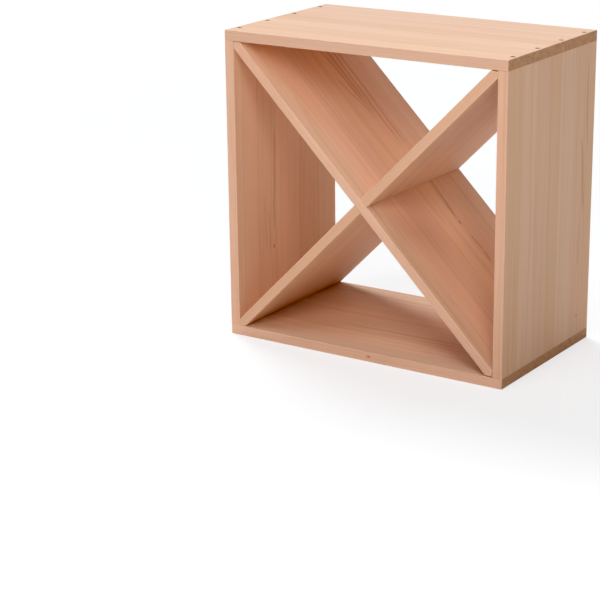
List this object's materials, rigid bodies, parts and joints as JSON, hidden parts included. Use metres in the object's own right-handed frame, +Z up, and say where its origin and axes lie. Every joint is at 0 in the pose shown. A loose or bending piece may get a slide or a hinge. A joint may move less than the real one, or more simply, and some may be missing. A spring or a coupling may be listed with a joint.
{
  "type": "wine rack",
  "caption": "Open square wooden wine rack with an X divider: two crossed boards halved together, pushed into a screwed box to make triangular bottle compartments.",
  "frame": {"origin": "centre of the footprint, on the underside of the bottom panel", "axes": "+Z up, -Y out of the open front towards the bottle necks, +X to the right seen from the front"},
  "size_m": [0.52, 0.3, 0.52],
  "materials": {
    "pine": "raw planed pine, unfinished",
    "screw_steel": "dark passivated steel"
  },
  "bodies": {
    "box": {"top_panel": "pine", "bottom_panel": "pine", "left_side_panel": "pine", "right_side_panel": "pine", "top_left_screws": "screw_steel", "top_right_screws": "screw_steel", "bottom_left_screws": "screw_steel", "bottom_right_screws": "screw_steel"},
    "rising_board": {"rising_cross_board": "pine"},
    "falling_board": {"falling_cross_board": "pine"}
  },
  "joints": [
    {"name": "divider_pull_out", "type": "slide", "parent": "box", "child": "rising_board", "axis": [0, -1, 0], "range_m": [0, 0.31]},
    {"name": "half_lap_draw", "type": "slide", "parent": "rising_board", "child": "falling_board", "axis": [0, -1, 0], "range_m": [0, 0.31]}
  ]
}
